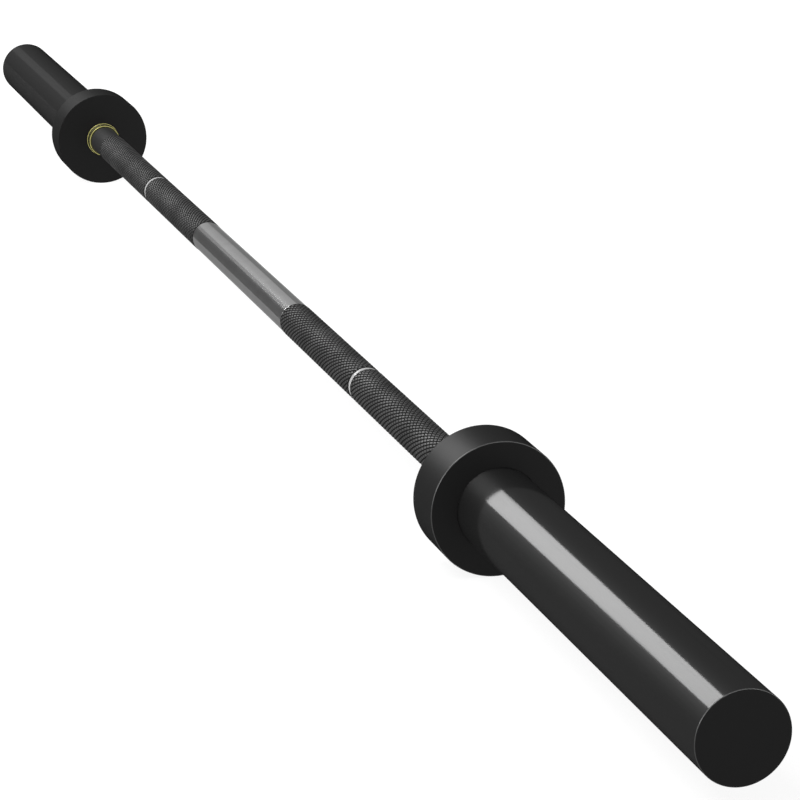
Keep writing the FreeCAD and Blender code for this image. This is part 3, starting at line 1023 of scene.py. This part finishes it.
@dataclass
class Sleeve:
    """One end of the bar: tube, collar, end cap, bushes and what holds them on."""

    side: Side
    finishes: SleeveFinishes
    seat_clearance: float = 0.02 * MM
    running_clearance: float = 0.05 * MM
    journal_radius: float = JOURNAL_RADIUS
    bush_radius: float = 13 * MM
    relief_radius: float = 14 * MM
    spigot_radius: float = 22 * MM
    mouth_depth: float = 3 * MM
    mouth_clearance: float = 0.3 * MM
    undercut_depth: float = 0.5 * MM
    undercut_width: float = 1.5 * MM
    collar_rounding: float = 0.5 * MM
    cap_rounding: float = 0.4 * MM
    bush_rounding: float = 0.5 * MM
    lip_height: float = 0.35 * MM  # of the bush's flange, where it meets the collar
    lip_width: float = 0.8 * MM
    lip_rounding: float = 0.3 * MM
    washer_rounding: float = 0.4 * MM
    plug_hollow: float = 8.4 * MM
    groove_play: float = 0.1 * MM

    def node(self, name: str) -> str:
        """Return the full name of one of this end's nodes."""
        return f"{self.side.prefix}_{name}"

    def span(self, name: str) -> Span:
        """Return the span of one of this end's nodes."""
        return Span.of_node(self.node(name))

    def turn(
        self,
        name: str,
        corners: Sequence[Corner],
        materials: Sequence[bpy.types.Material],
        closed: bool = True,
    ) -> bpy.types.Object:
        """Turn one piece of this end.

        Args:
            name: name of the node that the piece stands for
            corners: its section, counted outwards from the middle of the bar
            materials: materials of its faces and of its rounded edges
            closed: whether the section is a ring clear of the axis

        Returns:
            The finished piece.
        """
        placed = [replace(corner, along=self.side.value * corner.along) for corner in corners]
        mesh = turn_section(placed, closed)
        round_corners(mesh, placed)
        bmesh.ops.recalc_face_normals(mesh, faces=mesh.faces[:])
        return make_piece(mesh, f"{self.node(name)}_turned", materials)

    def build_tube(self) -> None:
        """Build the tube that carries the plates, with its stepped bore."""
        tube = self.span("sleeve_tube")
        collar = self.span("collar")
        inner_bush = self.span("inner_bush")
        outer_bush = self.span("outer_bush")
        inner_seat = self.bush_radius + self.seat_clearance
        outer_seat = outer_bush.radius + self.seat_clearance
        spigot_end = collar.outer - self.mouth_depth
        undercut_end = collar.outer + self.undercut_width
        undercut_radius = tube.radius - self.undercut_depth
        corners = [
            Corner(tube.inner, inner_seat),
            Corner(inner_bush.outer, inner_seat),
            Corner(inner_bush.outer, self.relief_radius),
            Corner(outer_bush.inner, self.relief_radius),
            Corner(outer_bush.inner, outer_seat),
            Corner(tube.outer, outer_seat),
            Corner(tube.outer, tube.radius),
            Corner(undercut_end, tube.radius),
            Corner(undercut_end, undercut_radius),
            Corner(spigot_end, undercut_radius),
            Corner(spigot_end, self.spigot_radius),
            Corner(tube.inner, self.spigot_radius),
        ]
        piece = self.turn("sleeve_tube", corners, [self.finishes.coat, self.finishes.edge])
        self.hand_over(piece, "sleeve_tube", "black_coat")

    def build_collar(self) -> None:
        """Build the collar that stops the plates."""
        collar = self.span("collar")
        tube = self.span("sleeve_tube")
        bush_seat = self.bush_radius + self.seat_clearance
        spigot_bore = self.spigot_radius + self.seat_clearance
        spigot_end = collar.outer - self.mouth_depth
        mouth = tube.radius + self.mouth_clearance
        corners = [
            Corner(collar.inner, bush_seat),
            Corner(tube.inner, bush_seat),
            Corner(tube.inner, spigot_bore),
            Corner(spigot_end, spigot_bore),
            Corner(spigot_end, mouth),
            Corner(collar.outer, mouth),
            Corner(collar.outer, collar.radius, self.collar_rounding),
            Corner(collar.inner, collar.radius, self.collar_rounding, worn_and_highlit=False),
        ]
        piece = self.turn("collar", corners, [self.finishes.satin_coat, self.finishes.edge])
        self.hand_over(piece, "collar", "black_coat")

    def build_cap(self) -> None:
        """Build the flush cap with its hollow plug and seal groove."""
        cap = self.span("end_cap")
        tube = self.span("sleeve_tube")
        seal = self.span("cap_seal")
        plug_radius = seal.radius
        groove_radius = plug_radius - (seal.outer - seal.inner) - self.seat_clearance
        groove_start = seal.inner - self.groove_play
        corners = [
            Corner(tube.outer, 0.0),
            Corner(tube.outer, self.plug_hollow),
            Corner(cap.inner, self.plug_hollow),
            Corner(cap.inner, plug_radius, self.bush_rounding),
            Corner(groove_start, plug_radius),
            Corner(groove_start, groove_radius),
            Corner(seal.outer, groove_radius),
            Corner(seal.outer, plug_radius),
            Corner(tube.outer, plug_radius),
            Corner(tube.outer, cap.radius),
            Corner(cap.outer, cap.radius, self.cap_rounding),
            Corner(cap.outer, 0.0),
        ]
        materials = [self.finishes.coat, self.finishes.edge, self.finishes.satin_coat]
        piece = self.turn("end_cap", corners, materials, closed=False)
        for polygon in piece.data.polygons:
            if abs(polygon.center.x) > cap.outer - MATCH_DISTANCE:
                polygon.material_index = CoatFace.FACE
        self.hand_over(piece, "end_cap", "black_coat")

    def build_bush(self) -> None:
        """Build the flanged bush that shows round the shaft at the collar."""
        bush = self.span("inner_bush")
        collar = self.span("collar")
        bore = self.journal_radius + self.running_clearance
        lip_edge = collar.inner - self.lip_width
        lip_radius = bush.radius + self.lip_height
        corners = [
            Corner(bush.inner, bore),
            Corner(bush.outer, bore),
            Corner(bush.outer, self.bush_radius, self.bush_rounding),
            Corner(collar.inner, self.bush_radius),
            Corner(collar.inner, lip_radius),
            Corner(lip_edge, lip_radius, self.lip_rounding),
            Corner(lip_edge, bush.radius),
            Corner(bush.inner, bush.radius, self.bush_rounding, worn_and_highlit=False),
        ]
        piece = self.turn("inner_bush", corners, self.finishes.bronzes)
        self.hand_over(piece, "inner_bush", "bronze")

    def build_washer(self) -> None:
        """Build the thrust washer against the shaft's shoulder."""
        washer = self.span("shoulder_washer")
        bore = self.journal_radius + self.seat_clearance
        corners = [
            Corner(washer.inner, bore),
            Corner(washer.outer, bore),
            Corner(washer.outer, washer.radius, self.washer_rounding),
            Corner(washer.inner, washer.radius, self.washer_rounding),
        ]
        piece = self.turn("shoulder_washer", corners, self.finishes.bronzes)
        hand_over(piece, "shaft", self.node("shoulder_washer"))

    def hand_over(self, piece: bpy.types.Object, name: str, slot: str) -> None:
        """Let a piece of this end turn with its sleeve."""
        hand_over(piece, self.node("sleeve"), self.node(name))

    def dress_inner_pieces(self) -> None:
        """Give the closed in pieces their finishes."""
        paint_node(self.node("outer_bush"), self.finishes.bronze)
        paint_node(self.node("thrust_washer"), self.finishes.bronze)
        paint_node(self.node("support_ring"), self.finishes.spring_steel)
        paint_node(self.node("circlip"), self.finishes.spring_steel)
        paint_node(self.node("cap_seal"), self.finishes.rubber)

    def build(self) -> None:
        """Build every piece of this end."""
        self.build_tube()
        self.build_collar()
        self.build_cap()
        self.build_bush()
        self.build_washer()
        self.dress_inner_pieces()


# Studio

MIDDLE = Vector((0.0, 0.0, 0.0))
NEAR_SLEEVE = Vector((0.74, 0.0, 0.0))
FAR_SLEEVE = Vector((-0.74, 0.0, 0.0))
STRIP_FROM_FAR_END = math.radians(29.6)  # where the near sleeve mirrors the strip to the camera
STRIP_DISTANCE = 4.0


def stage_piece(
    mesh: bmesh.types.BMesh,
    name: str,
    material: bpy.types.Material,
) -> bpy.types.Object:
    """Turn a finished mesh into a piece of the studio.

    Args:
        mesh: the finished mesh, which is used up
        name: name of the piece
        material: its finish

    Returns:
        The new object, which is no part of the bar.
    """
    data = bpy.data.meshes.new(name)
    mesh.to_mesh(data)
    mesh.free()
    data.materials.append(material)
    piece = bpy.data.objects.new(name, data)
    bpy.context.scene.collection.objects.link(piece)
    return piece


@dataclass(frozen=True)
class PhotoCamera:
    """The camera of the photograph, fitted to the outlines of the bar."""

    place: tuple[float, float, float] = (2.08118, -0.53468, 0.54828)
    heading: float = math.radians(162.575)  # from +X towards +Y
    dip: float = math.radians(-16.739)
    focal_pixels: float = 2939.4
    frame_pixels: float = 800.0
    sensor_width: float = 36.0

    def build(self) -> None:
        """Add the camera and make it the scene's."""
        data = bpy.data.cameras.new("photo_camera")
        data.sensor_fit = "HORIZONTAL"
        data.sensor_width = self.sensor_width
        data.lens = self.sensor_width * self.focal_pixels / self.frame_pixels
        camera = bpy.data.objects.new("photo_camera", data)
        level = math.cos(self.dip)
        forward = Vector(
            (level * math.cos(self.heading), level * math.sin(self.heading), math.sin(self.dip))
        )
        camera.location = self.place
        camera.rotation_euler = forward.to_track_quat("-Z", "Y").to_euler()
        bpy.context.scene.collection.objects.link(camera)
        bpy.context.scene.camera = camera


@dataclass(frozen=True)
class BarDirection:
    """A direction seen from the bar: its angle from the far end, and its turn round the bar."""

    from_far_end: float
    turn: float  # from +Y upwards

    @property
    def outwards(self) -> Vector:
        """Work out the unit vector in this direction.

        Returns:
            The vector, from the bar outwards.
        """
        across = math.sin(self.from_far_end)
        along = -math.cos(self.from_far_end)
        return Vector((along, across * math.cos(self.turn), across * math.sin(self.turn)))

    @property
    def round_bar(self) -> Vector:
        """Return the unit vector in which a larger turn lies."""
        return Vector((0.0, -math.sin(self.turn), math.cos(self.turn)))


@dataclass(frozen=True)
class SoftBox:
    """A rectangular studio lamp that faces a point."""

    name: str
    place: Vector
    target: Vector
    along: Vector  # direction of its long side
    length: float
    width: float
    radiance: float
    shadows: bool = True

    def build(self) -> None:
        """Add the lamp."""
        data = bpy.data.lights.new(self.name, "AREA")
        data.shape = "RECTANGLE"
        data.size = self.length
        data.size_y = self.width
        data.energy = self.radiance * self.length * self.width * math.pi
        data.use_shadow = self.shadows
        lamp = bpy.data.objects.new(self.name, data)
        back = (self.place - self.target).normalized()
        side = (self.along - self.along.dot(back) * back).normalized()
        turned = Matrix((side, back.cross(side), back)).transposed()
        lamp.matrix_world = Matrix.Translation(self.place) @ turned.to_4x4()
        lamp.visible_camera = False
        bpy.context.scene.collection.objects.link(lamp)


@dataclass(frozen=True)
class ReflectedPanel:
    """A panel that casts no shadows and stands where a stretch of the bar mirrors it to the camera."""

    name: str
    stretch: Vector  # middle of the stretch
    direction: BarDirection
    distance: float
    length: float  # round the bar
    width: float
    radiance: float
    lean: float = 0.0  # turn about the line to the stretch

    def build(self) -> None:
        """Hang the panel."""
        outwards = self.direction.outwards
        leaning = Matrix.Rotation(self.lean, 3, outwards)
        SoftBox(
            self.name,
            place=self.stretch + self.distance * outwards,
            target=self.stretch,
            along=leaning @ self.direction.round_bar,
            length=self.length,
            width=self.width,
            radiance=self.radiance,
            shadows=False,
        ).build()


@dataclass(frozen=True)
class SideGlow:
    """Dim panels of growing length beside the strip, so that the side of its stripe fades in steps."""

    start: float = math.radians(140)  # turn round the bar at which every panel starts
    reaches: tuple[int, ...] = (15, 28, 40)  # degrees round the bar
    width: float = 1.0
    radiance: float = 0.19

    def build(self) -> None:
        """Hang the panels."""
        for degrees in self.reaches:
            half = math.radians(degrees) / 2
            length = 2 * STRIP_DISTANCE * math.sin(STRIP_FROM_FAR_END) * math.tan(half)
            ReflectedPanel(
                f"side_panel_{degrees}",
                stretch=NEAR_SLEEVE,
                direction=BarDirection(STRIP_FROM_FAR_END, turn=self.start + half),
                distance=STRIP_DISTANCE,
                length=length,
                width=self.width,
                radiance=self.radiance,
            ).build()


@dataclass(frozen=True)
class DarkCard:
    """An upright card beside the bar, which only reflections show."""

    name: str
    start: float  # along the bar
    end: float
    aside: float  # across the bar
    top: float
    colour: Colour = grey(0.28)
    roughness: float = 0.9

    def build(self, bottom: float) -> None:
        """Stand the card up.

        Args:
            bottom: height of its lower edge
        """
        half_length = (self.end - self.start) / 2
        half_height = (self.top - bottom) / 2
        mesh = bmesh.new()
        bmesh.ops.create_grid(mesh, x_segments=1, y_segments=1, size=1.0)
        bmesh.ops.scale(mesh, verts=mesh.verts[:], vec=(half_length, half_height, 1.0))
        middle = (self.start + half_length, self.aside, bottom + half_height)
        upright = Matrix.Translation(middle) @ Matrix.Rotation(math.radians(90), 4, "X")
        bmesh.ops.transform(mesh, matrix=upright, verts=mesh.verts[:])
        finish = SealRubber(self.name, colour=self.colour, roughness=self.roughness)
        card = stage_piece(mesh, self.name, finish.material())
        card.visible_camera = False
        card.visible_diffuse = False
        card.visible_shadow = False


@dataclass(frozen=True)
class Studio:
    """Pale floor, soft light, the panels and the card that the metal reflects, and the camera."""

    floor_height: float
    floor_size: float = 30.0  # from the middle to each side
    fill: float = 0.3  # light from all round
    glossy_share: float = 0.1  # part of the white that shows in metal

    def build_floor(self) -> None:
        """Lay the floor that the collars stand on."""
        mesh = bmesh.new()
        bmesh.ops.create_grid(mesh, x_segments=1, y_segments=1, size=self.floor_size)
        bmesh.ops.translate(mesh, verts=mesh.verts[:], vec=(0.0, 0.0, self.floor_height))
        stage_piece(mesh, "floor", PaleFloor().material())

    def build_world(self) -> None:
        """Fill the room with even light that the camera sees as white."""
        world = bpy.data.worlds.new("studio")
        bpy.context.scene.world = world
        bench = NodeBench(world)
        seen = bench.seen_directly(self.glossy_share)
        inputs = {"Color": opaque(WHITE), "Strength": self.fill + (1 - self.fill) * seen}
        bench.surface(bench.add("ShaderNodeBackground", inputs=inputs))

    def build_lamps(self) -> None:
        """Hang the overhead lamp and two low ones, for the end faces and the bar's left flank."""
        SoftBox(
            "overhead",
            place=Vector((0.9, -1.6, 2.8)),
            target=MIDDLE,
            along=Vector((1.0, 0.0, 0.0)),
            length=2.4,
            width=1.6,
            radiance=3.0,
        ).build()
        SoftBox(
            "front",
            place=Vector((3.36, 1.08, 0.35)),
            target=NEAR_SLEEVE,
            along=Vector((0.0, 1.0, 0.0)),
            length=2.4,
            width=0.6,
            radiance=3.8,
            shadows=False,
        ).build()
        SoftBox(
            "left",
            place=Vector((1.8, -2.6, 0.9)),
            target=MIDDLE,
            along=Vector((1.0, 0.0, 0.0)),
            length=1.5,
            width=1.5,
            radiance=5.0,
            shadows=False,
        ).build()

    def build_reflections(self) -> None:
        """Hang the panels that show as stripes along the metal, and stand up the card."""
        ReflectedPanel(
            "strip",
            stretch=NEAR_SLEEVE,
            direction=BarDirection(STRIP_FROM_FAR_END, turn=math.radians(117)),
            distance=STRIP_DISTANCE,
            length=1.58,
            width=1.0,
            radiance=16.0,
            lean=math.radians(-6),
        ).build()
        ReflectedPanel(
            "far_panel",
            stretch=MIDDLE,
            direction=BarDirection(from_far_end=math.radians(20), turn=math.radians(80)),
            distance=7.0,
            length=3.1,
            width=1.0,
            radiance=0.28,
        ).build()
        ReflectedPanel(
            "far_strip",
            stretch=FAR_SLEEVE,
            direction=BarDirection(from_far_end=math.radians(15), turn=math.radians(103)),
            distance=5.0,
            length=0.75,
            width=0.4,
            radiance=0.8,
        ).build()
        SideGlow().build()
        card = DarkCard("centre_card", start=-0.62, end=0.12, aside=-0.084, top=0.079)
        card.build(self.floor_height)

    def build(self) -> None:
        """Build the whole studio."""
        self.build_floor()
        self.build_world()
        self.build_lamps()
        self.build_reflections()
        PhotoCamera().build()
        bpy.context.scene.view_settings.view_transform = "Standard"


def main() -> None:
    """Build the shaft, both sleeves and the studio."""
    logging.basicConfig(level=logging.INFO, format="%(message)s")
    washer = Span.of_node("right_shoulder_washer")
    shaft = Shaft(
        span=Span.of_node("shaft"),
        shoulder=washer.inner,
        clip=Span.of_node("right_circlip"),
    )
    shaft.build()
    finishes = SleeveFinishes.mix()
    for side in Side:
        Sleeve(side, finishes).build()
    collar = Span.of_node("right_collar")
    Studio(floor_height=-collar.radius).build()


if __name__ == "__main__":
    main()
